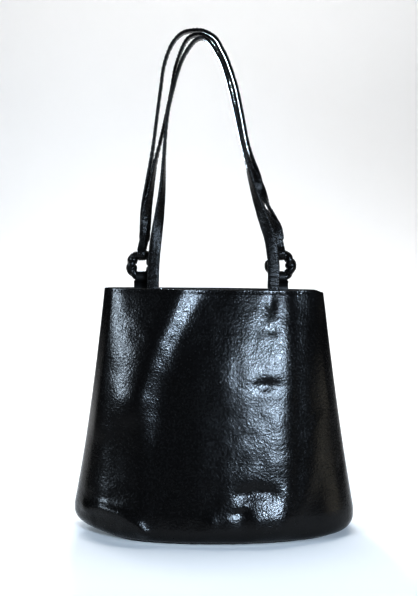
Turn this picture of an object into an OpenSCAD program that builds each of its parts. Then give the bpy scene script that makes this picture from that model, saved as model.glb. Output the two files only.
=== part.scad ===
/* [Bag] */
// Height of the rim above the surface the bag stands on
rim_h = 288; // [240:1:320]
// Half the length of the mouth, seam to seam
rim_a = 132; // [120:1:150]
// Half the gap of the open mouth
rim_b = 22; // [18:1:30]
// Half the length of the flat base
base_a = 148; // [130:1:160]
// Half the depth of the flat base
base_b = 64; // [50:1:75]
// Half the length where the walls swell widest
belly_a = 166; // [150:1:180]
// Half the depth where the walls swell widest
belly_b = 75; // [60:1:85]
// Height of the widest point
belly_h = 32; // [20:1:45]

/* [Leather and cloth] */
// Thickness of the outer leather
leather_t = 2; // [1.6:0.1:2.4]
// Thickness of the leather facing inside the rim
facing_t = 1.4; // [1:0.1:1.8]
// Depth of the facing below the rim
facing_h = 40; // [30:1:50]
// Thickness of the cloth lining
lining_t = 0.8; // [0.5:0.1:1.2]

/* [Handles] */
// Width of the handle straps
strap_w = 13; // [10:0.5:14]
// Thickness of the handle straps
strap_t = 3.8; // [3:0.1:4]
// Width of a strap or tab where it passes through a ring
neck_w = 11; // [9:0.5:11]
// Where the front strap's left end leaves the rim
front_left_x = -73; // [-76:1:-68]
// Where the front strap's right end leaves the rim
front_right_x = 71; // [68:1:72]

/* [Rings] */
// Radius of the ring's centre line
ring_r = 14.4; // [14:0.1:16]
// Radius of the ring's round section
ring_tube_r = 4.1; // [3:0.1:4.3]
// Centre of the left ring
ring_left_x = -88; // [-92:1:-86]
// Centre of the right ring
ring_right_x = 81; // [80:1:90]

/* [Pocket] */
// Width of the zipped pocket
pocket_w = 130; // [100:5:130]
// Height of the zipped pocket
pocket_h = 110; // [80:5:120]
// Length of the zip's row of teeth
zip_l = 104; // [70:2:104]

/* [Hidden] */
$fn = 48;

black = [0.03, 0.03, 0.035];
black_edge = [0.06, 0.06, 0.065];
cloth = [0.11, 0.11, 0.12];
steel = [0.62, 0.62, 0.64];
board_colour = [0.35, 0.3, 0.25];

gap = 0.3;              // between layers sewn on one another
seam_gap = 0.05;        // half the gap between the panels where they meet
seam_reach = 0.999;     // the panels stop just short of the seam's centre line
wall_bottom = 4.4;      // lower edge of the wall panels
base_t = 2;             // base leather
board_t = 2.4;          // stiffener on the base
welt_t = 2.8;           // piping round the base
lens_base = 0.8;        // a fuller oval at the base
lens_rim = 1.25;        // a lens with pointed ends at the rim
wall_lean = 10;         // lean of the walls near the rim, in degrees

// ---- shape of the wall -------------------------------------------------------

// 0 at the widest point, 1 at the rim
function rise(z) = (z - belly_h) / (rim_h - belly_h);
// 0 at the widest point, 1 at the wall's lower edge
function tuck(z) = (belly_h - z) / belly_h;
function swell(z) = sqrt(max(0, 1 - tuck(z) * tuck(z)));
function wall_a(z) = z > belly_h
    ? belly_a + (rim_a - belly_a) * rise(z) * (1.22 - 0.22 * rise(z))
    : base_a + (belly_a - base_a) * swell(z);
function wall_b(z) = z > belly_h
    ? belly_b + (rim_b - belly_b) * pow(rise(z), 1.05)
    : base_b + (belly_b - base_b) * swell(z);
function lens_power(z) = lens_base + (lens_rim - lens_base) * min(1, max(0, rise(z) * 1.2));

// A point of the wall, t from -1 at one seam to 1 at the other
function wall_point(t, z, inset, side) =
    [(wall_a(z) - inset) * sin(90 * t),
     side * (seam_gap + (wall_b(z) - inset) * pow(cos(90 * t), lens_power(z))), z];
// How far out the wall stands at a place along its length
function wall_y(x, z, inset) =
    (wall_b(z) - inset) * pow(cos(asin(abs(x) / (wall_a(z) - inset))), lens_power(z));

// A closed skin through rings of points that have the same, even count. Each end is closed by
// a strip of triangles between the ring's first half and its second half
module loft(rings) {
    k = len(rings[0]);
    n = len(rings);
    sides = [for (r = [0 : n - 2]) for (i = [0 : k - 1])
        let (j = (i + 1) % k, low = r * k, high = low + k)
        each [[low + i, high + i, high + j], [low + i, high + j, low + j]]];
    ends = [for (i = [0 : k / 2 - 2])
        let (a = i, b = i + 1, c = k - 2 - i, d = k - 1 - i, top = (n - 1) * k)
        each [[a, b, c], [a, c, d], [top + c, top + b, top + a], [top + d, top + c, top + a]]];
    polyhedron([for (ring = rings) each ring], concat(sides, ends), convexity = 6);
}

// Half of a bag-shaped layer: side -1 is the front, 1 the back
module half_layer(side, heights, inset, thick, reach, columns) {
    ts = spread(side * reach, -side * reach, columns);
    loft([for (z = heights) concat(
        [for (t = ts) wall_point(t, z, inset, side)],
        [for (i = [columns : -1 : 0]) wall_point(ts[i], z, inset + thick, side)])]);
}

function spread(low, high, count) = [for (i = [0 : count]) low + (high - low) * i / count];
function oval(a, b, count) =
    [for (i = [0 : count - 1]) let (u = 360 * i / count, c = cos(u), s = sin(u))
        [a * c, b * sign(s) * pow(abs(s), lens_base)]];

// ---- straps ------------------------------------------------------------------

// Routes are points chosen by hand: x, y, z, turn of the strap's width away from X,
// and on the rear handle half the distance between its two strands
strap_y = -11.6;
ring_y = 9.2;
front_hinge_y = -15.5;
front_hinge_z = rim_h + 2.6;
ring_hinge_z = rim_h + 12;
strap_hinge_z = ring_hinge_z + 2 * ring_r;
turn_neck_h = 17;
strand_z = strap_hinge_z + turn_neck_h + 0.4;

front_route = [
    [front_left_x, strap_y, front_hinge_z + 0.2, 0], [front_left_x + 1, strap_y, 318, 0],
    [-69.5, -12, 345, 8], [-65.5, -11, 374, 34], [-62, -9.5, 406, 64], [-60, -8.5, 442, 86],
    [-58, -8.5, 474, 90], [-55, -8.5, 500, 90], [-50, -8.5, 522, 90], [-44.5, -8, 543, 90],
    [-38, -7, 562, 90], [-30, -6, 576, 90], [-22, -4.8, 585.5, 90], [-13, -4.2, 588.3, 90],
    [-4, -5, 581.5, 90], [3, -6, 570, 90], [10, -7, 556, 90], [17.3, -8, 532, 90],
    [24.6, -8.5, 502, 90], [32.6, -8.5, 466, 90], [39, -8.5, 440, 94], [47, -9.5, 408, 118],
    [57, -11, 376, 148], [67, -12, 346, 172], [front_right_x, strap_y, 318, 180],
    [front_right_x, strap_y, front_hinge_z + 0.2, 180]];

rear_route = [
    [ring_left_x, ring_y, strand_z, 0, 2.1], [ring_left_x, ring_y, strand_z + 4, 0, 2.1],
    [-86, 9.2, 362, 14, 2.3], [-83, 9, 384, 38, 2.4], [-79, 8.5, 408, 62, 2.4],
    [-74, 7.5, 440, 82, 2.6], [-69, 7, 466, 90, 4], [-63, 6.5, 500, 90, 5.6],
    [-58, 6.5, 530, 90, 6.6], [-54, 6.5, 555, 90, 7], [-46.5, 5.5, 577, 90, 6.8],
    [-37.5, 4.2, 590.5, 90, 5.2], [-26.5, 3, 595.8, 90, 3.1], [-13.5, 2.5, 596, 90, 2.4],
    [0, 3, 588.7, 90, 2.4], [8, 4, 576, 90, 2.4], [15.3, 5, 561, 90, 2.4], [25.2, 6, 531, 90, 2.4],
    [31.8, 6.5, 500, 90, 2.4], [38.5, 7, 464, 92, 2.5], [44, 7.5, 442, 108, 2.8],
    [50.5, 8.5, 422, 156, 3], [57, 9, 403, 212, 3], [64, 9.2, 385, 268, 3],
    [71.5, 9.2, 370, 316, 2.8], [78.5, 9.2, 360, 346, 2.3],
    [ring_right_x, ring_y, strand_z + 4, 360, 2.1], [ring_right_x, ring_y, strand_z, 360, 2.1]];

function unit(v) = v / norm(v);
function xyz(q) = [q[0], q[1], q[2]];
function curve(a, b, c, d, u) = 0.5 * (2 * b + (c - a) * u
    + (2 * a - 5 * b + 4 * c - d) * u * u + (3 * b - a - 3 * c + d) * u * u * u);
function refine(route, steps) = let (n = len(route)) [
    for (i = [0 : n - 2]) for (j = [0 : steps - 1])
        curve(route[max(i - 1, 0)], route[i], route[i + 1], route[min(i + 2, n - 1)], j / steps),
    route[n - 1]];
function heading(path, i) =
    unit(xyz(path[min(i + 1, len(path) - 1)]) - xyz(path[max(i - 1, 0)]));
function across(q, ahead) =
    let (hint = [cos(q[3]), sin(q[3]), 0]) unit(hint - (hint * ahead) * ahead);

// The strap's section: a flat band with eased corners
function band(w, t, ease) = [[w - ease, -t], [w, ease - t], [w, t - ease], [w - ease, t],
    [ease - w, t], [-w, t - ease], [-w, ease - t], [ease - w, -t]];

// A strap swept along a route, shifted off it by side times the spacing
module strap(route, side) {
    path = refine(route, 3);
    section = band(strap_w / 2, strap_t / 2, 0.9);
    loft([for (i = [0 : len(path) - 1])
        let (q = path[i], ahead = heading(path, i), wide = across(q, ahead),
             thick = cross(ahead, wide), shift = side == 0 ? 0 : side * q[4])
        [for (s = section) xyz(q) + s[0] * wide + (s[1] + shift) * thick]]);
}

// ---- outer bag ---------------------------------------------------------------

belly_rows = 4;
wall_rows = 8;
wall_columns = 24;
wall_heights = concat(spread(wall_bottom, belly_h, belly_rows),
    [for (i = [1 : wall_rows]) belly_h + (rim_h - belly_h) * i / wall_rows]);

module wall_panel(side) {
    color(black) half_layer(side, wall_heights, 0, leather_t, seam_reach, wall_columns);
}

module front_panel() {
    wall_panel(-1);
}

module back_panel() {
    wall_panel(1);
}

// The two seam allowances, pressed together inside the corner
module side_seam(side) {
    seam_w = 4.4;
    seam_t = 0.9;
    color(black_edge) loft([for (z = spread(8, rim_h - 0.6, 8))
        let (x1 = wall_a(z) - leather_t - 0.8, x0 = x1 - seam_w, y = seam_t)
        side > 0 ? [[x0, -y, z], [x1, -y, z], [x1, y, z], [x0, y, z]]
                 : [[-x1, -y, z], [-x0, -y, z], [-x0, y, z], [-x1, y, z]]]);
}

module side_seam_left() {
    side_seam(-1);
}

module side_seam_right() {
    side_seam(1);
}

module base_panel() {
    color(black) linear_extrude(base_t) polygon(oval(base_a - 2, base_b - 2, 72));
}

module base_welt() {
    color(black_edge) translate([0, 0, 1.2]) linear_extrude(welt_t) difference() {
        polygon(oval(base_a + 1.6, base_b + 1.6, 72));
        polygon(oval(base_a - 1.6, base_b - 1.6, 72));
    }
}

module base_board() {
    color(board_colour) translate([0, 0, base_t + gap]) linear_extrude(board_t)
        polygon(oval(base_a - 8, base_b - 8, 60));
}

// ---- inside ------------------------------------------------------------------

facing_inset = leather_t + gap;
facing_inner = facing_inset + facing_t;
lining_inset = 10;
lining_top = rim_h - facing_h - 1;
lining_bottom = base_t + board_t + 3 * gap + 4;
lining_heights = concat([lining_bottom, 18], spread(belly_h, lining_top, 6));

module facing(side) {
    color(black) half_layer(side, spread(rim_h - facing_h, rim_h - 0.4, 4), facing_inset, facing_t, 0.78, 28);
}

module front_facing() {
    facing(-1);
}

module back_facing() {
    facing(1);
}

// The lining hangs as a lens of its own, a little shorter than the walls
function lining_point(t, z, inset, side) =
    [(wall_a(z) - lining_inset - inset) * sin(90 * t),
     side * (seam_gap + (wall_b(z) - facing_inner - gap - inset) * pow(cos(90 * t), lens_power(z))), z];

module lining_layer(side, heights, inset, thick, reach, columns) {
    ts = spread(side * reach, -side * reach, columns);
    loft([for (z = heights) concat(
        [for (t = ts) lining_point(t, z, inset, side)],
        [for (i = [columns : -1 : 0]) lining_point(ts[i], z, inset + thick, side)])]);
}

module front_lining() {
    color(cloth) lining_layer(-1, lining_heights, 0, lining_t, seam_reach, 20);
}

module back_lining() {
    color(cloth) lining_layer(1, lining_heights, 0, lining_t, seam_reach, 20);
}

module base_lining() {
    color(cloth) translate([0, 0, base_t + board_t + 2 * gap]) linear_extrude(lining_t)
        polygon(oval(base_a - 10, base_b - 9, 60));
}

// Open-topped pocket on the front lining
module slip_pocket() {
    color(cloth) lining_layer(-1, spread(110, 205, 5), lining_t + gap, 1, 0.34, 10);
}

module slip_pocket_binding() {
    color(black) lining_layer(-1, spread(205.2, 213, 1), lining_t + gap, 1.6, 0.34, 10);
}

// Zipped pocket: a flat pouch that leans with the back wall
pocket_top_z = 228;
pocket_y = 20.2;
pocket_t = 3.6;
pocket_skin = 0.7;
pocket_lean = 10;
slot_h = 9;
slot_drop = 16;

// Places its children in the pouch's own frame: x along the zip, y away from the viewer
// inside the bag, z up, with the origin at the middle of the pouch's top edge
module on_pocket() {
    translate([0, pocket_y, pocket_top_z]) rotate([pocket_lean, 0, 0]) children();
}

module slab(x, y, z) {
    translate([-x / 2, 0, -z]) cube([x, y, z]);
}

module pocket_pouch() {
    color(cloth) on_pocket() difference() {
        slab(pocket_w, pocket_t, pocket_h);
        translate([0, pocket_skin, -pocket_skin])
            slab(pocket_w - 2 * pocket_skin, pocket_t - 2 * pocket_skin, pocket_h - 2 * pocket_skin);
        translate([0, -1, -slot_drop]) slab(zip_l + 6, 1.5, slot_h);
    }
}

// Two tapes cover the slot and leave a narrow line between them for the teeth
teeth_drop = slot_drop + slot_h / 2;
tape_h = 6.7;
tape_t = 0.6;
tape_parting = 0.6;
module zip_tape(drop) {
    color(black_edge) on_pocket() translate([0, -gap - tape_t, -drop]) slab(zip_l + 16, tape_t, tape_h);
}

module zip_tape_upper() {
    zip_tape(teeth_drop - tape_parting - tape_h);
}

module zip_tape_lower() {
    zip_tape(teeth_drop + tape_parting);
}

tooth_pitch = 4;
tooth_w = 1.4;
tooth_depth = 1.3;
tape_front = -gap - tape_t - 0.05;
module zip_teeth() {
    color(steel) on_pocket() translate([0, tape_front, -teeth_drop])
        for (i = [0 : zip_l / tooth_pitch - 1])
            translate([(i + 0.5) * tooth_pitch - zip_l / 2, 0, 0])
                translate([-tooth_w / 2, -tooth_depth, -1.2]) cube([tooth_w, tooth_depth, 2.4]);
}

module zip_stops() {
    color(steel) on_pocket() for (end = [-1, 1])
        translate([end * (zip_l / 2 + 1.5) - 1, tape_front - 0.8, -teeth_drop - 1.6]) cube([2, 0.8, 3.2]);
}

slider_l = 10;
slider_y = -5;
slider_x = -zip_l / 2 + slider_l / 2 + 1;
puller_pin_r = 0.8;
puller_z = -teeth_drop;

// Slider body with the bridge that the puller hangs from
module zip_slider() {
    color(steel) on_pocket() translate([slider_x, 0, puller_z]) {
        translate([-slider_l / 2, slider_y + 0.6, -3.4]) cube([slider_l, 1.6, 6.8]);
        for (end = [-1, 1]) translate([end * 2.6 - 0.6, slider_y - 2, -1]) cube([1.2, 2.8, 2]);
        translate([-3, slider_y - 2, 0]) rotate([0, 90, 0]) cylinder(h = 6, r = puller_pin_r);
    }
}

// Puller, hanging plumb from the bridge
puller_l = 24;
puller_w = 8;
puller_t = 1.6;
module zip_puller() {
    color(steel) on_pocket() translate([slider_x, slider_y - 2, puller_z]) rotate([-pocket_lean, 0, 0])
        difference() {
            union() {
                rotate([0, 90, 0]) cylinder(h = 3.4, r = puller_pin_r + 1.1, center = true);
                translate([-1.7, -puller_t / 2, -4]) cube([3.4, puller_t, 4]);
                translate([-puller_w / 2, -puller_t / 2, -puller_l]) cube([puller_w, puller_t, puller_l - 4]);
            }
            rotate([0, 90, 0]) cylinder(h = 5, r = puller_pin_r + 0.3, center = true);
        }
}

// Magnetic snap at the middle of the facings
snap_z = 262;
snap_r = 9;
snap_t = 2.4;
snap_y = wall_y(0, snap_z, facing_inner) - 1;

module snap_male() {
    color(steel) translate([0, -snap_y, snap_z]) rotate([-90 - wall_lean, 0, 0]) {
        cylinder(h = snap_t, r = snap_r);
        cylinder(h = snap_t + 1.6, r = 3.6);
    }
}

module snap_female() {
    color(steel) translate([0, snap_y, snap_z]) rotate([90 + wall_lean, 0, 0]) difference() {
        cylinder(h = snap_t, r = snap_r);
        translate([0, 0, 0.8]) cylinder(h = snap_t, r = 3.9);
    }
}

// ---- rings, tabs and handles -------------------------------------------------

loop_inner_r = 6.3;
tab_t = 1.9;
turn_t = 2.7;
leg_h = 36;
leg_out = 6;

// Folded tab: a loop round the ring and two layers that follow the facing down
module ring_tab(x) {
    color(black) translate([x, ring_y, ring_hinge_z]) rotate([90, 0, 90]) linear_extrude(neck_w, center = true)
        difference() {
            union() {
                circle(loop_inner_r + tab_t);
                polygon([[-tab_t, -5], [-tab_t, -12], [leg_out - tab_t, -12 - leg_h],
                         [leg_out + tab_t, -12 - leg_h], [tab_t, -12], [tab_t, -5]]);
            }
            circle(loop_inner_r);
        }
}

module ring_tab_left() {
    ring_tab(ring_left_x);
}

module ring_tab_right() {
    ring_tab(ring_right_x);
}

// Sewn end of the front strap, flat against the facing
module front_anchor(x) {
    depth = 38;
    out = 6.4;
    color(black) translate([x, strap_y, rim_h]) rotate([90, 0, 90]) linear_extrude(strap_w, center = true)
        polygon([[-strap_t / 2, 2.2], [strap_t / 2, 2.2], [strap_t / 2, 0],
                 [strap_t / 2 - out, -depth], [-strap_t / 2 - out, -depth], [-strap_t / 2, 0]]);
}

module front_anchor_left() {
    front_anchor(front_left_x);
}

module front_anchor_right() {
    front_anchor(front_right_x);
}

module front_strap() {
    color(black) strap(front_route, 0);
}

module ring(x) {
    color(black) translate([x, ring_y, ring_hinge_z + ring_r]) rotate([90, 0, 0])
        rotate_extrude($fn = 96) translate([ring_r, 0]) circle(ring_tube_r);
}

module ring_left() {
    ring(ring_left_x);
}

module ring_right() {
    ring(ring_right_x);
}

module rear_strap_outer() {
    color(black) strap(rear_route, 1);
}

module rear_strap_inner() {
    color(black) strap(rear_route, -1);
}

// Where the doubled strap turns round a ring
module rear_turn(x) {
    color(black) translate([x, ring_y, strap_hinge_z]) rotate([90, 0, 90]) linear_extrude(neck_w, center = true)
        difference() {
            union() {
                circle(loop_inner_r + turn_t);
                translate([-strap_t, 5]) square([2 * strap_t, turn_neck_h - 5]);
            }
            circle(loop_inner_r);
        }
}

module rear_turn_left() {
    rear_turn(ring_left_x);
}

module rear_turn_right() {
    rear_turn(ring_right_x);
}

front_panel();
back_panel();
side_seam_left();
side_seam_right();
base_panel();
base_welt();
base_board();
front_facing();
back_facing();
front_lining();
back_lining();
base_lining();
slip_pocket();
slip_pocket_binding();
pocket_pouch();
zip_tape_upper();
zip_tape_lower();
zip_teeth();
zip_stops();
snap_male();
snap_female();
ring_tab_left();
ring_tab_right();
front_anchor_left();
front_anchor_right();
front_strap();
ring_left();
ring_right();
rear_strap_outer();
rear_strap_inner();
rear_turn_left();
rear_turn_right();
zip_slider();
zip_puller();
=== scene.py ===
"""A black leather shoulder bag, standing with its handles up, in plain soft studio light."""

import math

import bpy
import numpy as np
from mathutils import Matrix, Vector, noise


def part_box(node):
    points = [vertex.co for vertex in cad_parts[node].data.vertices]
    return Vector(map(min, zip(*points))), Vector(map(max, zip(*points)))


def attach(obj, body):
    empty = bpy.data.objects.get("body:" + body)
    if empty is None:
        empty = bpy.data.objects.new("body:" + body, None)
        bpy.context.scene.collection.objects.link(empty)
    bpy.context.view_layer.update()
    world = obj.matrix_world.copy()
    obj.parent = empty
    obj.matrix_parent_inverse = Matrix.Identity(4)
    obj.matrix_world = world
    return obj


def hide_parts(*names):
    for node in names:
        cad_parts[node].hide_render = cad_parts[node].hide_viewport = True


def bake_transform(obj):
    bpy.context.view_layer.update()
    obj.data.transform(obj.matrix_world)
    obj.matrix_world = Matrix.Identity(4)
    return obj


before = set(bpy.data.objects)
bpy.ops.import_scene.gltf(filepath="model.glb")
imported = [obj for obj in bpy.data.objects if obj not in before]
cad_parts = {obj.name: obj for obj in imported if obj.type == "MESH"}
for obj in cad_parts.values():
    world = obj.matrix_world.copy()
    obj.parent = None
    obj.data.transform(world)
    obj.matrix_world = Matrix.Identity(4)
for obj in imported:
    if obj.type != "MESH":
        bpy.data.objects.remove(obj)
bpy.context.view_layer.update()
MM = 0.001

# ---- sizes, in metres: places come from the frame ------------------------------------------
# A is half a width and B half a depth. An inset is how far a layer lies inside the wall's outer face.

PANEL_LOW, PANEL_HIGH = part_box("front_panel")
RIM_Z = PANEL_HIGH[2]
BELLY_A = PANEL_HIGH[0]
BELLY_B = -PANEL_LOW[1]
WALL_Z = PANEL_LOW[2]
BELLY_Z = 32 * MM
TUCK_Z = 20 * MM
WELT_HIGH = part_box("base_welt")[1]
WELT_HALF = 1.6 * MM
BASE_A = WELT_HIGH[0] - WELT_HALF
BASE_B = WELT_HIGH[1] - WELT_HALF
RIM_A = 132 * MM
RIM_B = 22 * MM
LENS_BASE = 0.8
LENS_RIM = 1.25
LEATHER_T = 1.9 * MM
FACING_INSET = 2.3 * MM
FACING_T = 1.3 * MM
LINING_INSET = 4.0 * MM
LINING_END_INSET = 10 * MM
LINING_T = 0.8 * MM
SIDES = ((-1, "front"), (1, "back"))
SEAM_REACH = 0.9995
STITCH_DROP = 3.1 * MM

RING_R = 14.4 * MM
RING_X = {side: sum(c[0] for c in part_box("ring_" + side)) / 2 for side in ("left", "right")}
RING_Y = sum(c[1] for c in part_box("ring_left")) / 2
RING_Z = sum(c[2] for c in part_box("ring_left")) / 2
STRAP_W = 13 * MM
STRAP_T = 3.6 * MM
REAR_STRAP_T = STRAP_T * 0.95
STITCH_PITCH = 4 * MM


# ---- materials ---------------------------------------------------------------------------


class Shader:
    """A small helper to write node materials from top to bottom, in the object's own coordinates."""

    def __init__(self, name):
        self.material = bpy.data.materials.new(name)
        self.material.use_nodes = True
        self.tree = self.material.node_tree
        self.surface = self.tree.nodes["Principled BSDF"]
        coordinates = self.tree.nodes.new("ShaderNodeTexCoord")
        self.place = coordinates.outputs["Object"]

    def join(self, out, into):
        self.tree.links.new(out, into)

    def node(self, kind, inputs=None, **settings):
        made = self.tree.nodes.new("ShaderNode" + kind)
        for key, value in settings.items():
            setattr(made, key, value)
        for key, value in (inputs or {}).items():
            socket = made.inputs[key]
            if isinstance(value, bpy.types.NodeSocket):
                self.join(value, socket)
            else:
                socket.default_value = value
        return made

    def stretch(self, x, y, z):
        return self.node("Mapping", {"Vector": self.place, "Scale": (x, y, z)}).outputs["Vector"]

    def noise(self, scale, detail=4.0, rough=0.5, vector=None):
        return self.node("TexNoise", {"Vector": vector or self.place, "Scale": scale, "Detail": detail,
                                      "Roughness": rough}).outputs["Fac"]

    def cells(self, scale):
        return self.node("TexVoronoi", {"Vector": self.place, "Scale": scale},
                         feature="DISTANCE_TO_EDGE").outputs["Distance"]

    def wave(self, scale, direction, distortion, detail=2.0):
        return self.node("TexWave", {"Vector": self.place, "Scale": scale, "Distortion": distortion,
                                     "Detail": detail}, bands_direction=direction).outputs["Fac"]

    def band(self, value, low, high, to_low=0.0, to_high=1.0):
        return self.node("MapRange", {"Value": value, "From Min": low, "From Max": high, "To Min": to_low,
                                      "To Max": to_high}).outputs["Result"]

    def math(self, operation, a, b):
        made = self.node("Math", operation=operation)
        for socket, value in zip(made.inputs, (a, b)):
            if isinstance(value, bpy.types.NodeSocket):
                self.join(value, socket)
            else:
                socket.default_value = value
        return made.outputs["Value"]

    def mix(self, fac, dark, light):
        made = self.node("MixRGB", {"Fac": fac, "Color1": (*dark, 1), "Color2": (*light, 1)})
        return made.outputs["Color"]

    def bump(self, height, distance, strength=1.0, under=None):
        inputs = {"Height": height, "Distance": distance, "Strength": strength}
        if under is not None:
            inputs["Normal"] = under
        return self.node("Bump", inputs).outputs["Normal"]

    def set(self, **values):
        for key, value in values.items():
            socket = self.surface.inputs[key.replace("_", " ")]
            if isinstance(value, bpy.types.NodeSocket):
                self.join(value, socket)
            else:
                socket.default_value = value
        return self.material


def leather(name, rough, grain=450.0, grain_depth=0.4 * MM, fine_detail=3.0, wrinkle_depth=0.6 * MM,
            wrinkle_stretch=(1, 1, 1)):
    """Black finished leather: pebbled grain over soft wrinkles, and an uneven gloss.

    The grain's number is about how many pebbles there are in a metre."""
    s = Shader(name)
    pebbles = s.band(s.cells(grain), 0.0, 0.3)
    fine = s.noise(grain * 0.9, detail=fine_detail, rough=0.75)
    cloud = s.noise(9.0, detail=5.0, rough=0.55)
    wrinkles = s.noise(48.0, detail=6.0, rough=0.6, vector=s.stretch(*wrinkle_stretch))
    normal = s.bump(wrinkles, wrinkle_depth, strength=0.35)
    grain_height = s.math("ADD", s.math("MULTIPLY", pebbles, 0.25), fine)
    normal = s.bump(grain_height, grain_depth, strength=0.8, under=normal)
    worn = s.math("ADD", s.math("MULTIPLY", cloud, 0.45), s.math("MULTIPLY", fine, 0.55))
    return s.set(
        Base_Color=s.mix(cloud, (0.0012, 0.0012, 0.0014), (0.003, 0.0028, 0.003)),
        Roughness=s.band(worn, 0.36, 0.64, rough[1], rough[0]),
        Normal=normal,
        Specular_IOR_Level=0.27,
    )


def thread(name, colour):
    """Waxed sewing thread: plies that twist round each other."""
    s = Shader(name)
    plies = s.wave(1400.0, "DIAGONAL", 1.5)
    return s.set(
        Base_Color=s.mix(plies, [c * 0.5 for c in colour], colour),
        Roughness=s.band(plies, 0.0, 1.0, 0.6, 0.75),
        Normal=s.bump(plies, 0.08 * MM),
        Specular_IOR_Level=0.08,
    )


def twill(name, dark, light, pitch):
    """Woven cloth with a diagonal rib every pitch."""
    s = Shader(name)
    scale = 0.31 / pitch
    ribs = s.wave(scale, "DIAGONAL", 0.6, detail=1.0)
    yarns = s.wave(scale * 1.8, "Z", 0.4)
    fluff = s.noise(260.0, detail=6.0)
    weave = s.math("MULTIPLY", ribs, yarns)
    shade = s.math("ADD", s.math("MULTIPLY", weave, 0.7), s.math("MULTIPLY", fluff, 0.3))
    return s.set(
        Base_Color=s.mix(shade, dark, light),
        Roughness=s.band(fluff, 0.2, 0.8, 0.72, 0.92),
        Normal=s.bump(weave, 0.15 * MM, strength=0.7),
        Sheen_Weight=0.25,
        Sheen_Roughness=0.5,
    )


def metal(name, colour):
    """Satin metal with fine drawn scratches."""
    s = Shader(name)
    scratches = s.noise(6.0, detail=8.0, rough=0.7, vector=s.stretch(30, 30, 900))
    cloud = s.noise(120.0, detail=3.0)
    wear = s.math("ADD", s.math("MULTIPLY", scratches, 0.6), s.math("MULTIPLY", cloud, 0.4))
    return s.set(
        Base_Color=s.mix(cloud, [c * 0.82 for c in colour], colour),
        Metallic=1.0,
        Roughness=s.band(wear, 0.3, 0.7, 0.2, 0.36),
        Normal=s.bump(scratches, 0.02 * MM, strength=0.5),
    )


def fibreboard(name):
    """Pressed brown board with fibres that lie mostly one way."""
    s = Shader(name)
    fibres = s.noise(40.0, detail=8.0, rough=0.7, vector=s.stretch(1, 6, 1))
    return s.set(
        Base_Color=s.mix(fibres, (0.10, 0.075, 0.05), (0.24, 0.19, 0.13)),
        Roughness=s.band(fibres, 0.2, 0.8, 0.8, 0.95),
        Normal=s.bump(fibres, 0.2 * MM),
    )


WALL_LEATHER = leather("wall_leather", rough=(0.19, 0.3), grain=420.0, grain_depth=0.25 * MM, fine_detail=0.5,
                       wrinkle_depth=0.15 * MM)
STRAP_LEATHER = leather("strap_leather", rough=(0.2, 0.32), wrinkle_depth=2.2 * MM, wrinkle_stretch=(1, 1, 5))
EDGE_LEATHER = leather("edge_leather", rough=(0.4, 0.55), grain=700.0, grain_depth=0.1 * MM)
RING_LEATHER = leather("ring_leather", rough=(0.24, 0.34), grain=600.0, grain_depth=0.12 * MM,
                       wrinkle_depth=1.0 * MM)
BLACK_THREAD = thread("black_thread", (0.004, 0.004, 0.0045))
LINING_CLOTH = twill("lining_twill", (0.014, 0.014, 0.016), (0.045, 0.045, 0.05), pitch=0.7 * MM)
TAPE_CLOTH = twill("tape_twill", (0.01, 0.01, 0.01), (0.03, 0.03, 0.032), pitch=0.9 * MM)
STEEL = metal("satin_steel", (0.62, 0.62, 0.65))
BOARD = fibreboard("base_fibreboard")


# ---- mesh building -----------------------------------------------------------------------


def make(name, points, faces, material, body, slot, replaced=()):
    """A smooth mesh piece in its final place, riding on a body unless that is None."""
    mesh = bpy.data.meshes.new(name)
    mesh.from_pydata([tuple(p) for p in points], [], [tuple(f) for f in faces])
    mesh.validate()
    piece = bpy.data.objects.new(name, mesh)
    bpy.context.scene.collection.objects.link(piece)
    mesh.materials.append(material)
    mesh.polygons.foreach_set("use_smooth", [True] * len(mesh.polygons))
    mesh.update()
    if body:
        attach(piece, body)
    if replaced:
        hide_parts(*replaced)
    return piece


def skin(rings, closed=False):
    """Points and faces of a tube through rings that have the same count, ends closed unless it is a loop."""
    rings = np.asarray(rings, float)
    n, k = rings.shape[:2]
    faces = []
    for r in range(n if closed else n - 1):
        low, high = r * k, (r + 1) % n * k
        for i in range(k):
            j = (i + 1) % k
            faces.append((low + i, low + j, high + j, high + i))
    if not closed:
        faces.append(tuple(reversed(range(k))))
        faces.append(tuple(range((n - 1) * k, n * k)))
    return rings.reshape(-1, 3), faces


def merge(parts):
    """Several (points, faces) pairs as one."""
    points, faces, start = [], [], 0
    for part_points, part_faces in parts:
        points.extend(part_points)
        faces.extend([[start + i for i in face] for face in part_faces])
        start += len(part_points)
    return points, faces


def stitch(at, along, out, length, radius):
    """One stitch: a short plump capsule that dips at both ends."""
    along = along / np.linalg.norm(along)
    out = out - along * (out @ along)
    out = out / np.linalg.norm(out)
    wide = np.cross(along, out)
    rings = []
    for u in (-1.0, -0.8, -0.35, 0.35, 0.8, 1.0):
        r = radius * (1.02 - u * u) ** 0.4 * (0.35 if abs(u) == 1 else 1)
        centre = at + along * (u * length / 2) + out * (radius * 0.75 * (1 - u * u) - radius * 0.25)
        rings.append([centre + wide * (r * math.cos(a)) + out * (r * math.sin(a))
                      for a in (math.tau * i / 6 for i in range(6))])
    return skin(rings)


# ---- the shape of the walls --------------------------------------------------------------


def smooth_step(u):
    """0 up to u = 0, 1 from u = 1, and smooth between them."""
    u = np.clip(u, 0.0, 1.0)
    return u * u * (3 - 2 * u)


def rise(z):
    """0 at the belly's height, 1 at the rim."""
    return (z - BELLY_Z) / (RIM_Z - BELLY_Z)


def tuck(z):
    """1 up the wall, falling to 0 where the wall turns in under the bag."""
    return np.sqrt(np.clip(1 - ((TUCK_Z - z) / (TUCK_Z - 2 * MM)) ** 2, 0, 1)) * (z < TUCK_Z) + (z >= TUCK_Z)


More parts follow.
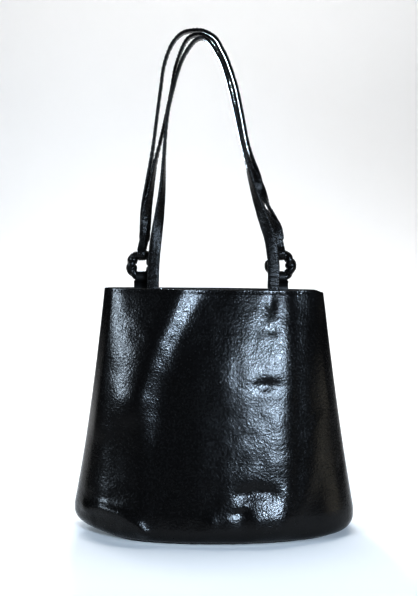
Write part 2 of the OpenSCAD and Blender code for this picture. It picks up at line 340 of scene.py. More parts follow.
def wall_a(z):
    """Half the bag's width at height z."""
    u = np.maximum(rise(z), -0.02)
    return BASE_A + (BELLY_A + (RIM_A - BELLY_A) * u * (1.22 - 0.22 * u) - BASE_A) * tuck(z)


def wall_b(z):
    """Half the bag's depth at height z."""
    u = rise(z)
    full = BELLY_B + (RIM_B - BELLY_B) * np.where(u > 0, np.abs(u) ** 1.05, 0.5 * u)
    return BASE_B + (full - BASE_B) * tuck(z)


def lens_power(z):
    """How sharply the plan closes at its corners: rounder at the base, a thin lens at the rim."""
    return LENS_BASE + (LENS_RIM - LENS_BASE) * np.clip(rise(z) * 1.2, 0, 1)


def along_line(z, line):
    """x of a crease at height z, from its (x, z) points in millimetres, its corners rounded."""
    line = sorted(line, key=lambda p: p[1])
    heights, places = [p[1] * MM for p in line], [p[0] * MM for p in line]
    shifts = range(-24, 25, 4)
    return sum(np.interp(z + up * MM, heights, places) for up in shifts) / len(shifts)


def fold(x, z, line, turn, width, fade=22):
    """A soft fold along a line, where the wall turns by a slope to face the right. It fades past its ends.

    The turn is one slope, or the slopes at the line's lower and upper ends."""
    heights = [p[1] for p in line]
    u = (x - along_line(z, line)) / (width * MM)
    low, high = min(heights), max(heights)
    inside = smooth_step((z / MM - low + fade) / fade) * smooth_step((high + fade - z / MM) / fade)
    slope = np.interp(z / MM, [low, high], turn) if isinstance(turn, tuple) else turn
    return -slope * width * MM * u / (1 + u * u) * inside


def ridge(x, z, line, height, width, taper=0.25):
    """A soft ridge or groove along a route of (x, z) points in millimetres."""
    points = np.asarray(line, float) * MM
    best = np.full(np.shape(x), np.inf)
    place = np.zeros(np.shape(x))
    legs = len(points) - 1
    for i in range(legs):
        a, step = points[i], points[i + 1] - points[i]
        u = np.clip(((x - a[0]) * step[0] + (z - a[1]) * step[1]) / (step @ step), 0, 1)
        d = np.hypot(x - a[0] - u * step[0], z - a[1] - u * step[1])
        place = np.where(d < best, (i + u) / legs, place)
        best = np.minimum(d, best)
    ends = smooth_step(place / taper) * smooth_step((1 - place) / taper)
    return height * MM * np.exp(-((best / (width * MM)) ** 2)) * ends


def dent(x, z, at, size, depth):
    """A soft hollow, its place, size and depth in millimetres."""
    return -depth * MM * np.exp(-(((x / MM - at[0]) / size[0]) ** 2 + ((z / MM - at[1]) / size[1]) ** 2))


def wobble(x, y, z):
    """Smooth noise at one point, the same on every run."""
    return noise.noise(Vector((x, y, z)))


def drift(x, z, scale, seed):
    """Slow unevenness over arrays of x and z."""
    values = [wobble(a * scale, seed, b * scale) for a, b in zip(np.ravel(x), np.ravel(z))]
    return np.reshape(values, np.shape(x))


def front_relief(x, z):
    """How far the front wall stands out from the plain lens: a belly, soft folds, then dents and puckers."""
    h = 4.0 * MM * np.exp(-(((z / MM - 192) / 75) ** 2))
    diagonal = [(-14, 310), (-27, 283), (-40, 255), (-54, 230), (-63, 205), (-75, 165)]
    right_edge = [(90, 300), (93, 240), (95, 200), (93, 150), (92, 90), (87, 40), (86, 10)]
    h = h + fold(x, z, diagonal, (0.38, 0.24), 25, fade=85)
    h = h + fold(x, z, [(-84, 140), (-80, 110), (-76, 70), (-72, 40)], 0.14, 30, fade=60)
    h = h + fold(x, z, [(-118, 120), (-120, 60)], 0.16, 24, fade=45)
    h = h + fold(x, z, [(66, 270), (62, 60)], -0.045, 18, fade=40)
    h = h + fold(x, z, right_edge, 0.13, 11)
    h = h + fold(x, z, [(22, 300), (12, 180), (8, 60)], -0.03, 12, fade=40)
    h = h + fold(x, z, [(136, 118), (122, 82), (104, 42), (90, 8)], 0.12, 18, fade=40)
    h = h + fold(x, z, [(-122, 262), (-128, 215)], -0.05, 14, fade=40)
    h = h + dent(x, z, (67, 272), (7, 13), 1.6) + dent(x, z, (68, 240), (8, 6), 0.8)
    h = h + dent(x, z, (60, 176), (15, 7), 1.6) + dent(x, z, (150, 82), (5, 14), 1.2)
    h = h + ridge(x, z, [(-14, 22), (20, 24), (55, 25), (90, 22)], 1.9, 15, taper=0.15)
    h = h + ridge(x, z, [(16, 55), (48, 60), (82, 56)], -2.0, 9, taper=0.3)
    h = h + ridge(x, z, [(28, 46), (32, 24), (34, 4)], -2.2, 10, taper=0.2)
    h = h + ridge(x, z, [(-160, 26), (-131, 36), (-107, 34), (-87, 24), (-73, 8)], 3.2, 7, taper=0.1)
    h = h + ridge(x, z, [(-142, 18), (-125, 20), (-104, 14)], -2.0, 8, taper=0.2)
    return h + ridge(x, z, [(-5, 40), (-9, 20), (-4, 4)], 1.2, 9, taper=0.3)


def back_relief(x, z):
    """The back wall isn't seen in the photograph: a few gentle folds of the same kind."""
    h = fold(x, z, [(-88, 300), (-96, 178), (-102, 60)], 0.1, 20)
    h = h + fold(x, z, [(-10, 300), (-30, 200), (-52, 110)], -0.14, 18)
    h = h + fold(x, z, [(60, 300), (52, 178), (66, 40)], 0.12, 20)
    h = h + ridge(x, z, [(-70, 36), (-20, 39), (40, 37)], 1.7, 9)
    h = h + ridge(x, z, [(-60, 58), (-10, 60), (30, 54)], -1.5, 11, taper=0.3)
    h = h + ridge(x, z, [(150, 30), (128, 36), (104, 34), (84, 16)], 2.0, 7, taper=0.15)
    return h + dent(x, z, (-45, 190), (12, 6), 1.0)


def relief(x, z, side):
    """The wall's offset outwards. It is zero at the seams, where front and back are sewn together."""
    shape, seed = (front_relief, 3.1) if side < 0 else (back_relief, 8.7)
    seam = smooth_step((1 - np.abs(x) / wall_a(z)) / 0.09)
    foot = 0.1 + 0.9 * smooth_step((z - WALL_Z) / (14 * MM))
    soft = 1.2 * MM * drift(x, z, 14, seed) + 0.3 * MM * drift(x, z, 60, seed + 5)
    rim_row = np.exp(-(((RIM_Z - z) / MM - STITCH_DROP / MM) / 1.1) ** 2)
    return ((shape(x, z) + soft) * foot - 0.45 * MM * rim_row) * seam


def lift(x, z):
    """The left end of the base curls up off the ground, and the rim sags a little to the right."""
    far = smooth_step((-x / MM - 70) / 90)
    curl = 9 * MM * far ** 1.5 * np.clip(1 - z / (110 * MM), 0, 1) ** 1.5
    top = smooth_step((z / MM - 170) / 118)
    corner = smooth_step((x / MM - 121) / 11) * smooth_step((z / MM - 262) / 26)
    return curl - (1.3 * MM + 1.5 * MM * x / RIM_A) * top - 3.0 * MM * corner


def wall_points(t, z, inset, side, end_inset=None):
    """Points of a layer of the wall, t from -1 at one seam to 1 at the other. side is -1 in front."""
    t, z, inset = np.broadcast_arrays(np.asarray(t, float), np.asarray(z, float), np.asarray(inset, float))
    ends = inset if end_inset is None else end_inset
    x = (wall_a(z) - ends) * np.sin(math.pi / 2 * t)
    bow = np.abs(np.cos(math.pi / 2 * t)) ** lens_power(z)
    y = side * (0.05 * MM + (wall_b(z) - inset) * bow + relief(x, z, side))
    return np.stack([x, y, z + lift(x, z)], axis=-1)


def layer(side, z_low, z_high, inset, thick, reach, columns, rows, end_inset=None, extra=None):
    """A sewn layer with rounded edges, as one closed skin. extra moves it further inwards."""
    half = thick / 2
    turn = [(half * (1 - math.sin(a)), half * math.cos(a)) for a in np.linspace(math.pi / 2, -math.pi / 2, 7)]
    up = np.linspace(z_low + half, z_high - half, rows)
    outer = [(z, 0.0) for z in up]
    top = [(z_high - half + c, s) for s, c in turn[1:-1]]
    inner = [(z, thick) for z in up[::-2]]
    bottom = [(z_low + half - c, thick - s) for s, c in turn[1:-1]]
    loop = outer + top + inner + bottom
    ts = np.linspace(side * reach, -side * reach, columns + 1)
    zs = np.array([p[0] for p in loop])[None, :]
    depth = np.array([p[1] for p in loop])[None, :]
    ends = None if end_inset is None else end_inset + depth
    points = wall_points(ts[:, None], zs, inset + depth, side, ends)
    if extra is not None:
        points[..., 1] -= side * extra(points[..., 0], points[..., 2])
    return skin(points)


def wall_place(x, z, side):
    """A point on the wall at x and height z, with its outward direction."""
    t = math.asin(max(-1, min(1, x / float(wall_a(z))))) * 2 / math.pi
    dt, dz = 0.01, MM / 2
    here = wall_points(t, z, 0.0, side)
    right = wall_points(t + dt, z, 0.0, side) - wall_points(t - dt, z, 0.0, side)
    up = wall_points(t, z + dz, 0.0, side) - wall_points(t, z - dz, 0.0, side)
    out = np.cross(right, up)
    out = out * (1 if out[1] * side > 0 else -1)
    return here, right / np.linalg.norm(right), out / np.linalg.norm(out)


# ---- outer bag ---------------------------------------------------------------------------


def build_walls():
    """The front and back wall, each one shaped piece of leather."""
    for side, name in SIDES:
        wall = layer(side, WALL_Z, RIM_Z, 0.0, LEATHER_T, SEAM_REACH, 230, 150)
        make(name + "_wall", *wall, WALL_LEATHER, "bag", "black_leather", [name + "_panel"])


def build_rim_stitches():
    """A row of stitches that lies in the groove under the rim."""
    z = RIM_Z - STITCH_DROP
    for side, name in SIDES:
        parts = []
        count = int(2 * (RIM_A - 6 * MM) / STITCH_PITCH)
        for i in range(count + 1):
            x = (i - count / 2) * STITCH_PITCH
            at, along, out = wall_place(x, z, side)
            parts.append(stitch(at + out * 0.05 * MM, along, out, length=2.5 * MM, radius=0.75 * MM))
        make(name + "_rim_stitches", *merge(parts), BLACK_THREAD, "bag", "black_leather")


def oval(a, b, angle):
    """A point of the base's outline."""
    c, s = math.cos(angle), math.sin(angle)
    return a * c, b * math.copysign(abs(s) ** LENS_BASE, s)


def build_base():
    """The base leather, from rows of height in millimetres and share of the outline, and its piping."""
    count = 160
    angles = [math.tau * i / count for i in range(count)]
    under = [(0.0, 0.02), (0.0, 0.5), (0.0, 0.9), (0.1, 0.97), (0.8, 1.0)]
    rows = under + [(1.7, 0.995), (2.0, 0.97), (2.0, 0.5), (2.0, 0.02)]
    rings = []
    for height, share in rows:
        ring = []
        for a in angles:
            x, y = oval((BASE_A - 2 * MM) * share, (BASE_B - 2 * MM) * share, a)
            ring.append((x, y, height * MM + float(lift(x, 0.0))))
        rings.append(ring)
    make("base_leather", *skin(rings), WALL_LEATHER, "bag", "black_leather", ["base_panel"])
    make("base_piping", *piping(angles), EDGE_LEATHER, "bag", "leather_edge", ["base_welt"])


def piping(angles):
    """A corded welt round the base, puckered a little by its stitches."""
    radius, height = 1.7 * MM, 2.6 * MM
    rings = []
    for i, a in enumerate(angles):
        x, y = oval(BASE_A, BASE_B, a)
        xb, yb = oval(BASE_A, BASE_B, a + 0.01)
        out = np.array([yb - y, x - xb, 0])
        out /= np.linalg.norm(out)
        at = np.array([x, y, height + float(lift(x, 0.0))])
        r = radius * (1 + 0.04 * math.sin(i * 2.4))
        rings.append([at + out * (r * math.cos(b)) + np.array([0, 0, r * math.sin(b)])
                      for b in (math.tau * j / 10 for j in range(10))])
    return skin(rings, closed=True)


def build_seams():
    """The seam allowances inside the two side corners."""
    for sign, name in ((-1, "left"), (1, "right")):
        rings = []
        for z in np.linspace(9 * MM, RIM_Z - 0.8 * MM, 60):
            end = float(wall_a(z)) - LEATHER_T - 1.1 * MM
            wave = 0.3 * MM * math.sin(z / MM * 0.21 + sign)
            width, half = 3.9 * MM, 0.8 * MM
            dz = float(lift(sign * end, z))
            ring = []
            for u, v in ((0, -1), (0.5, -1.05), (1, -0.7), (1.06, 0), (1, 0.7), (0.5, 1.05), (0, 1)):
                ring.append((sign * (end - u * width), sign * v * half + wave * u, z + dz))
            rings.append(ring)
        make("seam_allowance_" + name, *skin(rings), EDGE_LEATHER, "bag", "leather_edge",
             ["side_seam_" + name])


# ---- inside ------------------------------------------------------------------------------


def build_facings():
    """Leather bands inside the rim."""
    low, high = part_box("front_facing")[0][2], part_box("front_facing")[1][2]
    for side, name in SIDES:
        facing = layer(side, low, high, FACING_INSET, FACING_T, 0.78, 120, 24)
        make(name + "_facing_leather", *facing, EDGE_LEATHER, "bag", "black_leather", [name + "_facing"])


def lining_slack(seed):
    """Loose cloth hangs off the wall in shallow folds, always inwards."""

    def slack(x, z):
        low = smooth_step((RIM_Z - 40 * MM - z) / (60 * MM))
        folds = 0.5 + 0.5 * np.sin(x / MM * 0.11 + 2.2 * drift(x, z, 9, seed))
        ripples = 0.5 + 0.5 * drift(x, z, 45, seed + 2)
        return 1.6 * MM * folds * low + 0.8 * MM * ripples * low

    return slack


def build_linings():
    """The cloth inside: front, back and base."""
    low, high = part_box("front_lining")[0][2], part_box("front_lining")[1][2]
    for side, name in SIDES:
        lining = layer(side, low, high, LINING_INSET, LINING_T, SEAM_REACH, 150, 80,
                       end_inset=LINING_END_INSET, extra=lining_slack(1.0 + side))
        make(name + "_lining_cloth", *lining, LINING_CLOTH, "bag", "lining_cloth", [name + "_lining"])
    build_base_lining()


def build_base_lining():
    """An oval of cloth with small ripples in its top face."""
    floor_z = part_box("base_lining")[0][2]
    rows = [(share, 0.0) for share in np.linspace(0.02, 1.0, 14)]
    rows += [(1.0, 0.8)] + [(share, 0.8) for share in np.linspace(0.97, 0.02, 14)]
    loops = []
    for share, up in rows:
        loop = []
        for i in range(120):
            x, y = oval((BASE_A - 10 * MM) * share, (BASE_B - 9 * MM) * share, math.tau * i / 120)
            ripple = 0.5 * MM * wobble(x * 30, y * 30, 1.7) if up else 0.0
            loop.append((x, y, floor_z + up * MM + max(0.0, ripple) + float(lift(x, 0.0))))
        loops.append(loop)
    make("base_lining_cloth", *skin(loops), LINING_CLOTH, "bag", "lining_cloth", ["base_lining"])


def build_slip_pocket():
    """An open-topped pocket on the front lining, its top edge bound in leather."""
    reach = 0.34
    low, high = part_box("slip_pocket")[0][2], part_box("slip_pocket")[1][2]
    bind_low, bind_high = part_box("slip_pocket_binding")[0][2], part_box("slip_pocket_binding")[1][2]

    def belly(x, z):
        across = np.clip(1 - (x / (66 * MM)) ** 2, 0, 1)
        return 2.6 * MM + 2.4 * MM * across * smooth_step((z - low) / (60 * MM))

    inset = LINING_INSET + LINING_T
    cloth = layer(-1, low, high, inset, 1.0 * MM, reach, 60, 40, end_inset=LINING_END_INSET, extra=belly)
    make("slip_pocket_cloth", *cloth, LINING_CLOTH, "bag", "lining_cloth", ["slip_pocket"])
    binding = layer(-1, bind_low - 2 * MM, bind_high, inset - 0.3 * MM, 1.7 * MM, reach, 60, 12,
                    end_inset=LINING_END_INSET, extra=belly)
    make("slip_pocket_edge", *binding, EDGE_LEATHER, "bag", "black_leather", ["slip_pocket_binding"])


# ---- straps ------------------------------------------------------------------------------


def curve_point(a, b, c, d, u):
    """A point between b and c on a smooth curve through all four."""
    bend = (2 * a - 5 * b + 4 * c - d) * u * u
    return 0.5 * (2 * b + (c - a) * u + bend + (3 * b - a - 3 * c + d) * u ** 3)


def refine(route, steps):
    """A smooth path through a route's points, each a row of x, y, z and what goes with it."""
    route = np.asarray(route, float)
    n = len(route)
    path = [curve_point(route[max(i - 1, 0)], route[i], route[i + 1], route[min(i + 2, n - 1)], j / steps)
            for i in range(n - 1) for j in range(steps)]
    return np.array(path + [route[-1]])


def strap_section(width, thick, groove):
    """Across the strap: two flat faces with a stitched groove near each edge, and round edges."""
    points = []
    for face in (-1, 1):
        for a in np.linspace(-math.pi / 2, math.pi / 2, 17)[:-1]:
            u = -face * math.sin(a)
            h = thick / 2 * (1 - abs(u) ** 7) ** 0.5 - groove * math.exp(-(((abs(u) - 0.72) / 0.07) ** 2))
            points.append((u * (width / 2), face * h if abs(u) < 0.999 else 0.0))
    return points


def frames(path, closed=False):
    """Point, direction, width direction and thickness direction at each place of a path of x, y, z, turn."""
    n = len(path)
    out = []
    for i in range(n):
        if closed:
            ahead = path[(i + 1) % n, :3] - path[i - 1, :3]
        else:
            ahead = path[min(i + 1, n - 1), :3] - path[max(i - 1, 0), :3]
        ahead = ahead / np.linalg.norm(ahead)
        a = math.radians(path[i, 3])
        hint = np.array([math.cos(a), math.sin(a), 0.0])
        wide = hint - (hint @ ahead) * ahead
        wide = wide / np.linalg.norm(wide)
        out.append((path[i, :3], ahead, wide, np.cross(ahead, wide)))
    return out


def facing_right(place):
    """The same place of a path, turned round if its width points to the left."""
    at, ahead, wide, out = place
    return (at, ahead, -wide, -out) if wide[0] < 0 else place


def strap_rings(places, width, thick, seed, groove=0.28 * MM):
    """A strap's rings: creased a little, its edges not quite straight, and width(i) wide at place i."""
    rings = []
    for i, (at, _, wide, out) in enumerate(places):
        crinkle = wobble(i * 0.9, seed, 0.3) * 0.14 + wobble(i * 0.23, seed, 4.0) * 0.1
        edge = wobble(i * 0.4, seed + 9, 0.3) * 0.25 * MM
        section = strap_section(width(i), thick * (1 + crinkle), groove)
        rings.append([at + wide * (s + edge) + out * h for s, h in section])
    return rings


def strap_stitches(places, width, thick):
    """Two rows of stitches on each face of a strap."""
    parts, travelled, due = [], 0.0, STITCH_PITCH
    for (a, *_), (b, ahead, wide, out) in zip(places, places[1:]):
        travelled += np.linalg.norm(b - a)
        if travelled < due:
            continue
        due += STITCH_PITCH
        for s in (-0.36, 0.36):
            for face in (-1, 1):
                at = b + wide * (s * width) + out * (face * (thick / 2 - 0.12 * MM))
                parts.append(stitch(at, ahead, out * face, length=2.7 * MM, radius=0.3 * MM))
    return merge(parts)


# Places along a strap for each leg of its route
STEPS = 10
# From here to the end of the rear route, lengths are in millimetres and turns in degrees
FRONT_LEFT_X, FRONT_RIGHT_X = -73.0, 71.0
FRONT_Y = -11.6
RIM = RIM_Z / MM
HINGE = RIM + 2.8
# The front handle, from its sewn left end up over the top and down to the right one: x, y, z, turn
FRONT_ROUTE = [
    (FRONT_LEFT_X - 2, FRONT_Y - 6.0, RIM - 37, 0), (FRONT_LEFT_X - 1, FRONT_Y - 3.2, RIM - 20, 0),
    (FRONT_LEFT_X, FRONT_Y - 0.4, RIM - 4, 0), (FRONT_LEFT_X, FRONT_Y, HINGE, 0),
    (FRONT_LEFT_X + 1, FRONT_Y, 318, 0), (-69.5, -12, 345, 8), (-65.5, -11, 374, 34), (-62, -9.5, 406, 64),
    (-60, -8.5, 442, 86), (-58, -8.5, 474, 90), (-55, -8.5, 500, 90), (-50, -8.5, 522, 90),
    (-44.5, -8, 543, 90), (-38, -7, 562, 90), (-30, -6, 576, 90), (-22, -4.8, 585.5, 90),
    (-13, -4.2, 588.3, 90), (-4, -5, 581.5, 90), (3, -6, 570, 90), (10, -7, 556, 90),
    (17.3, -8, 532, 90), (24.6, -8.5, 502, 90), (32.6, -8.5, 466, 90), (39, -8.5, 440, 94),
    (47, -9.5, 408, 118), (57, -11, 376, 148), (67, -12, 346, 172),
    (FRONT_RIGHT_X, FRONT_Y, 318, 180), (FRONT_RIGHT_X, FRONT_Y, HINGE, 180),
    (FRONT_RIGHT_X, FRONT_Y - 0.4, RIM - 4, 180), (FRONT_RIGHT_X, FRONT_Y - 3.2, RIM - 20, 180),
    (FRONT_RIGHT_X, FRONT_Y - 6.0, RIM - 37, 180)]

LEFT_X, RIGHT_X = RING_X["left"] / MM, RING_X["right"] / MM
RING_Y_MM = RING_Y / MM
LOOP_Z = RING_Z / MM + RING_R / MM
STRAND_Z = LOOP_Z + 17.4
NECK_Z = LOOP_Z + 15.5
TURN_R = 6.6
# How far the strap's two ends lean over between the rings and the strands
LEFT_LEAN, RIGHT_LEAN = 3.0, -2.5
# The rear handle between its rings: x, y, z, turn, and half the distance between its two strands
REAR_ROUTE = [
    (LEFT_X + LEFT_LEAN, RING_Y_MM, STRAND_Z, 0, 2.1),
    (LEFT_X + LEFT_LEAN + 0.6, RING_Y_MM, STRAND_Z + 4, 0, 2.1),
    (-83.7, 9.2, 362, 14, 2.3), (-82.3, 9, 384, 38, 2.4), (-79, 8.5, 408, 62, 2.4), (-74, 7.5, 440, 82, 2.6),
    (-69, 7, 466, 90, 4), (-63, 6.5, 500, 90, 5.6), (-58, 6.5, 530, 90, 6.6), (-54, 6.5, 555, 90, 7),
    (-46.5, 5.5, 577, 90, 6.8), (-37.5, 4.2, 590.5, 90, 5.2), (-26.5, 3, 595.8, 90, 3.1),
    (-13.5, 2.5, 596, 90, 2.4), (0, 3, 588.7, 90, 2.4), (8, 4, 576, 90, 2.4), (15.3, 5, 561, 90, 2.4),
    (25.2, 6, 531, 90, 2.4), (31.8, 6.5, 500, 90, 2.4), (38.5, 7, 464, 92, 2.5), (44, 7.5, 442, 108, 2.8),
    (50.5, 8.5, 422, 156, 3), (57, 9, 403, 212, 3), (64, 9.2, 385, 268, 3), (70.5, 9.2, 370, 316, 2.8),
    (76.2, 9.2, 360, 346, 2.3),
    (RIGHT_X + RIGHT_LEAN, RING_Y_MM, STRAND_Z + 4, 360, 2.1),
    (RIGHT_X + RIGHT_LEAN, RING_Y_MM, STRAND_Z, 360, 2.1)]


def metric(path):
    """A path of millimetres as metres, its turn and spacing kept."""
    path = np.array(path, float)
    path[:, :3] *= MM
    return path


def build_front_handle():
    """One strap sewn inside the front rim at both ends, a little wider near its feet."""
    places = frames(metric(refine(FRONT_ROUTE, STEPS)))

    def width(i):
        from_foot = min(i, len(places) - 1 - i) / STEPS
        return STRAP_W + 1.2 * MM * float(1 - smooth_step((from_foot - 4.5) / 2))

    strap = make("front_handle_strap", *skin(strap_rings(places, width, STRAP_T, 1.3)), STRAP_LEATHER, None,
                 "black_leather", ["front_strap", "front_anchor_left", "front_anchor_right"])
    thread_row = make("front_handle_stitches", *strap_stitches(places, STRAP_W, STRAP_T), BLACK_THREAD, None,
                      "black_leather")
    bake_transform(strap)
    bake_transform(thread_row)


def turn_round_ring(x, lean, turn):
    """The strap's way down one side of a ring's top, under it and up the other side: x, y, z, turn."""
    high, low = x + lean * 0.9, x + lean * 0.4
    down = [(high, RING_Y_MM - 2.2, NECK_Z), (low, RING_Y_MM - 2.9, LOOP_Z + 9.5)]
    under = [(x, RING_Y_MM - TURN_R * math.cos(a), LOOP_Z - TURN_R * math.sin(a))
             for a in (math.radians(degrees) for degrees in range(-40, 221, 10))]
    up = [(low, RING_Y_MM + 2.9, LOOP_Z + 9.5), (high, RING_Y_MM + 2.2, NECK_Z)]
    return np.array([(*point, turn) for point in down + under + up])


def build_rear_handle():
    """One long strap, doubled through both rings and sewn to itself, narrower where it turns round them."""
    path = refine(REAR_ROUTE, STEPS)
    strands = {}
    for side in (1, -1):
        strands[side] = np.array([np.append(at + out * side * row[4], row[3])
                                  for row, (at, _, _, out) in zip(path, frames(path))])
    right = turn_round_ring(RIGHT_X, RIGHT_LEAN, 360)
    left = turn_round_ring(LEFT_X, LEFT_LEAN, 0)
    loop = metric(np.concatenate([strands[1], right, strands[-1][::-1], left]))
    right_start = len(strands[1])
    right_end = right_start + len(right)
    left_start = len(loop) - len(left)
    necks = [(right_start + right_end) / 2, (left_start + len(loop)) / 2]

    def width(i):
        near = min(abs(i - n) for n in necks)
        return STRAP_W - 2.4 * MM * float(1 - smooth_step((near - 12) / 14))

    places = [facing_right(place) if right_start <= i < right_end or i >= left_start else place
              for i, place in enumerate(frames(loop, closed=True))]
    rings = strap_rings(places, width, REAR_STRAP_T, 5.9)
    make("rear_handle_strap", *skin(rings, closed=True), STRAP_LEATHER, "rear_handle", "black_leather",
         ["rear_strap_outer", "rear_strap_inner", "rear_turn_left", "rear_turn_right"])
    seams = [strap_stitches(places[3:right_start - 3], STRAP_W, REAR_STRAP_T),
             strap_stitches(places[right_end + 3:left_start - 3], STRAP_W, REAR_STRAP_T)]
    make("rear_handle_stitches", *merge(seams), BLACK_THREAD, "rear_handle", "black_leather")


# ---- rings and tabs ----------------------------------------------------------------------


def build_ring(side):
    """A strip of leather rolled and twisted into a ring, with its sewn edge winding round it."""
    centre = np.array([RING_X[side], RING_Y, RING_Z])
    axis = np.array([0.0, 1.0, 0.0])
    steps, sides, twists = 150, 26, 3
    long_half, short_half = 4.9 * MM, 3.9 * MM
    rings, stitches = [], []
    for i in range(steps):
        a = math.tau * i / steps
        flank = abs(math.sin(a)) ** 1.5
        radial = np.array([math.sin(a), 0, -math.cos(a)])
        ahead = np.array([math.cos(a), 0, math.sin(a)])
        turn = twists * a + (0.4 if side == "left" else 1.5)
        u = radial * math.cos(turn) + axis * math.sin(turn)
        v = -radial * math.sin(turn) + axis * math.cos(turn)
        core = centre + radial * (RING_R - 1.9 * MM * flank)
        ring = []
        for k in range(sides):
            b = math.tau * k / sides
            c, s = math.cos(b), math.sin(b)
            p = (long_half + 1.9 * MM * flank) * math.copysign(abs(c) ** 0.75, c)
            q = (short_half + 1.3 * MM * flank) * math.copysign(abs(s) ** 0.75, s)
            q += 0.5 * MM * math.exp(-(((p / long_half) - 0.55) / 0.12) ** 2) * (s > 0)
            ring.append(core + u * p + v * q)
        rings.append(ring)
        if i % 6 == 0 and flank > 0.4:
            at = core + u * (0.3 * long_half) + v * (short_half * 0.98 + 1.3 * MM * flank)
            stitches.append(stitch(at, ahead + u * 0.25, v, length=2.2 * MM, radius=0.3 * MM))
    body = side + "_ring"
    make("twisted_ring_" + side, *skin(rings, closed=True), RING_LEATHER, body, "black_leather",
         ["ring_" + side])
    make("ring_stitches_" + side, *merge(stitches), BLACK_THREAD, body, "black_leather")


def build_tab(side):
    """A strip folded over the ring's foot, wider at its two ends, which are sewn to the facing."""
    pivot_z = RING_Z - RING_R
    radius, thick = 6.6 * MM, 1.7 * MM
    angles = [math.radians(-65 + 310 * k / 22) for k in range(23)]
    over = [(radius * math.cos(a), radius * math.sin(a)) for a in angles]
    back_leg = [(5.4 * MM, -44 * MM), (3.2 * MM, -30 * MM), (0.95 * MM, -16 * MM), (0.95 * MM, -11 * MM)]
    front_leg = [(-0.95 * MM, -11 * MM), (-0.95 * MM, -16 * MM), (1.4 * MM, -30 * MM), (3.6 * MM, -44 * MM)]
    path = np.array([(RING_X[side], RING_Y + y, pivot_z + z, 0) for y, z in back_leg + over + front_leg])
    places = [facing_right(place) for place in frames(refine(path, 3))]
    half_count = len(places) / 2

    def width(i):
        from_top = abs(i - half_count) / half_count
        return 12 * MM + 6.5 * MM * float(smooth_step((from_top - 0.4) / 0.25))

    strip = skin(strap_rings(places, width, thick, 2.2, 0.1 * MM))
    make("ring_tab_leather_" + side, *strip, EDGE_LEATHER, "bag", "black_leather", ["ring_tab_" + side])
    across, forwards = np.array([1.0, 0, 0]), np.array([0, -1.0, 0])
    sewn = []
    for row in range(4):
        y, z = RING_Y - 1.9 * MM + row * 0.55 * MM, RIM_Z - (3 + 3.5 * row) * MM
        for k in (-1, 1):
            at = np.array([RING_X[side] + k * 2.2 * MM, y, z])
            sewn.append(stitch(at, across, forwards, length=3.4 * MM, radius=0.35 * MM))
    make("tab_stitches_" + side, *merge(sewn), BLACK_THREAD, "bag", "black_leather")


# ---- zipped pocket and small metal parts ---------------------------------------------------

POCKET_LEAN = math.radians(10)
POUCH_T = 3.6 * MM
POUCH_EDGE_RISE = 0.62 * MM


def on_pocket(x, y, z):
    """From the pouch's own frame, its origin at the middle of its top edge, to the bag's."""
    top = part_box("pocket_pouch")
    origin_y = top[0][1]
    origin_z = top[1][2] - POUCH_EDGE_RISE
    c, s = math.cos(POCKET_LEAN), math.sin(POCKET_LEAN)
    return (x, origin_y + y * c - z * s, origin_z + y * s + z * c)


def build_pouch():
    """A soft flat pouch behind the zip, a little full below it."""
    width, height = 130 * MM, 110 * MM
    columns, rows = 52, 44
    across = [2 * i / columns - 1 for i in range(columns + 1)]

    def half_thick(u, v):
        return POUCH_T / 2 * (1 - abs(u) ** 14) ** 0.5 * max(0.12, 1 - (2 * v - 1) ** 10) ** 0.5

    def puff(u, v):
        full = (1 - abs(u) ** 6) * smooth_step((v - 0.3) / 0.25) * smooth_step((1 - v) / 0.12)
        return 1.6 * MM * full * (0.75 + 0.5 * wobble(u * 3, v * 3, 5.0))

    rings = []
    for v in (j / rows for j in range(rows + 1)):
        front = [on_pocket(u * width / 2, POUCH_T / 2 - half_thick(u, v) - puff(u, v), -v * height)
                 for u in across]
        back = [on_pocket(u * width / 2, POUCH_T / 2 + half_thick(u, v) + 0.01 * MM, -v * height)
                for u in reversed(across)]
        rings.append(front + back)
    make("zip_pocket_cloth", *skin(rings), LINING_CLOTH, "bag", "lining_cloth", ["pocket_pouch"])


def build_zip_frame():
    """A thin leather welt round the zip, a rounded rectangle that grows by its profile."""
    hole_x, hole_z, band = 56 * MM, 3.4 * MM, 5 * MM
    zip_z = -20.5 * MM
    front, back, ease, count = -2.0 * MM, -1.0 * MM, 0.4 * MM, 96
    profile = [(0.0, back), (0.0, front + 0.3 * MM), (ease, front), (band - ease, front),
               (band, front + 0.3 * MM), (band, back)]
    loops = []
    for a in (math.tau * i / count for i in range(count)):
        c = math.copysign(abs(math.cos(a)) ** 0.25, math.cos(a))
        s = math.copysign(abs(math.sin(a)) ** 0.4, math.sin(a))
        loops.append([on_pocket((hole_x + grow) * c, y, zip_z + (hole_z + grow) * s) for grow, y in profile])
    make("zip_welt", *skin(loops, closed=True), EDGE_LEATHER, "bag", "black_leather")


def finish_cad_parts():
    """The rigid CAD parts stay. Their edges are eased and they get their own materials."""
    steel_parts = ("snap_male", "snap_female", "zip_teeth", "zip_stops", "zip_slider", "zip_puller")
    looks = dict.fromkeys(steel_parts, STEEL)
    looks.update(zip_tape_upper=TAPE_CLOTH, zip_tape_lower=TAPE_CLOTH, base_board=BOARD)
    for node, material in looks.items():
        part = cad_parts[node]
        part.data.materials.clear()
        part.data.materials.append(material)
        if node.startswith("zip_tape"):
            continue
        bevel = part.modifiers.new("eased_edges", "BEVEL")
        bevel.width = 0.18 * MM
        bevel.segments = 2
        bevel.limit_method = "ANGLE"


# ---- stage, light and camera ---------------------------------------------------------------


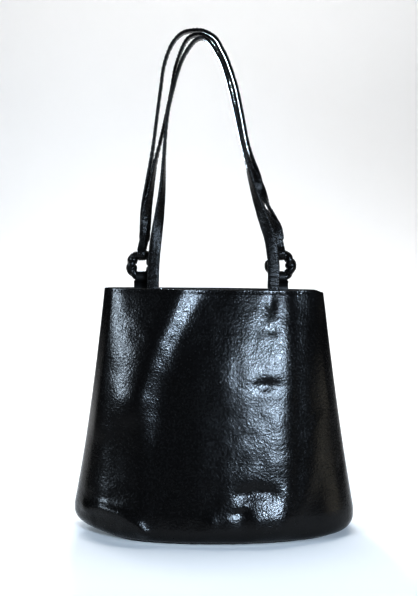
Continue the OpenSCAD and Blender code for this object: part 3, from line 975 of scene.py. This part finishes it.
def build_stage():
    """A pale floor that curves up into a backdrop behind the bag."""
    curve_y, curve_r = 1.3, 0.9
    profile = [(-3.0, 0.0), (curve_y, 0.0)]
    profile += [(curve_y + curve_r * math.sin(a), curve_r - curve_r * math.cos(a))
                for a in np.linspace(0.1, math.pi / 2, 14)]
    profile += [(curve_y + curve_r, 4.0)]
    points = [(x, y, z) for x in (-4.0, 4.0) for y, z in profile]
    n = len(profile)
    faces = [(i, i + 1, n + i + 1, n + i) for i in range(n - 1)]
    mesh = bpy.data.meshes.new("stage_floor")
    mesh.from_pydata(points, [], faces)
    floor = bpy.data.objects.new("stage_floor", mesh)
    bpy.context.scene.collection.objects.link(floor)
    mesh.polygons.foreach_set("use_smooth", [True] * len(mesh.polygons))
    paper = Shader("stage_paper")
    shade = paper.mix(paper.noise(3.0), (0.9, 0.9, 0.9), (0.93, 0.93, 0.93))
    mesh.materials.append(paper.set(Base_Color=shade, Roughness=0.9))


COOL = (0.74, 0.87, 1.0)
WHITE = (1.0, 1.0, 1.0)
# Name, place, what it points at, size, watts, colour, spread in degrees
LIGHTS = [
    ("key", (0.62, -1.55, 0.62), (0.05, 0, 0.2), (0.22, 0.24), 3.2, (0.68, 0.83, 1.0), 50),
    ("left_strip", (-1.32, -0.98, 0.66), (-0.12, 0, 0.25), (0.2, 0.26), 1.45, COOL, 50),
    ("warm_card", (1.5, -0.55, 0.13), (0.12, 0, 0.1), (0.6, 0.26), 0.2, (1.0, 0.94, 0.78), 70),
    ("rear_fill", (-1.2, 1.1, 1.0), (0, 0, 0.2), (0.5, 0.9), 6, (0.95, 0.97, 1.0), 180),
    ("rear_strip", (-0.3, 1.7, 0.7), (0, 0, 0.2), (0.25, 0.3), 1.5, COOL, 50),
    ("backdrop", (0.0, 0.7, 2.2), (0, 1.7, 0.6), (3.0, 1.0), 42, WHITE, 180),
    ("floor_wash", (0.0, 1.0, 2.4), (0, 1.0, 0), (3.0, 1.8), 10.5, WHITE, 55)]


def area_light(name, at, aim, size, power, colour, spread):
    """A rectangular lamp, its values in the order of LIGHTS."""
    light = bpy.data.lights.new(name, "AREA")
    light.shape = "RECTANGLE"
    light.size, light.size_y = size
    light.energy = power
    light.color = colour
    light.spread = math.radians(spread)
    lamp = bpy.data.objects.new(name, light)
    lamp.location = at
    lamp.rotation_euler = (Vector(aim) - Vector(at)).to_track_quat("-Z", "Y").to_euler()
    bpy.context.scene.collection.objects.link(lamp)


def build_light():
    """A dim pale sky and the lamps."""
    world = bpy.data.worlds.new("studio")
    bpy.context.scene.world = world
    world.use_nodes = True
    sky = world.node_tree.nodes["Background"]
    sky.inputs["Color"].default_value = (0.9, 0.95, 1.0, 1)
    sky.inputs["Strength"].default_value = 0.06
    for light in LIGHTS:
        area_light(*light)


def build_camera():
    """A level camera in front of the bag, its frame shifted down to the photograph's framing."""
    camera = bpy.data.cameras.new("camera")
    camera.lens = 50
    camera.sensor_width = 36
    camera.shift_y = -0.0898
    eye = bpy.data.objects.new("camera", camera)
    eye.location = (-0.006, -1.0, 0.34)
    eye.rotation_euler = (math.radians(90), 0, 0)
    scene = bpy.context.scene
    scene.collection.objects.link(eye)
    scene.camera = eye
    scene.view_settings.view_transform = "Standard"
    scene.view_settings.gamma = 0.8


build_camera()
build_walls()
build_rim_stitches()
build_base()
build_seams()
build_facings()
build_linings()
build_slip_pocket()
build_front_handle()
build_rear_handle()
for ring_side in ("left", "right"):
    build_ring(ring_side)
    build_tab(ring_side)
build_pouch()
build_zip_frame()
finish_cad_parts()
build_stage()
build_light()
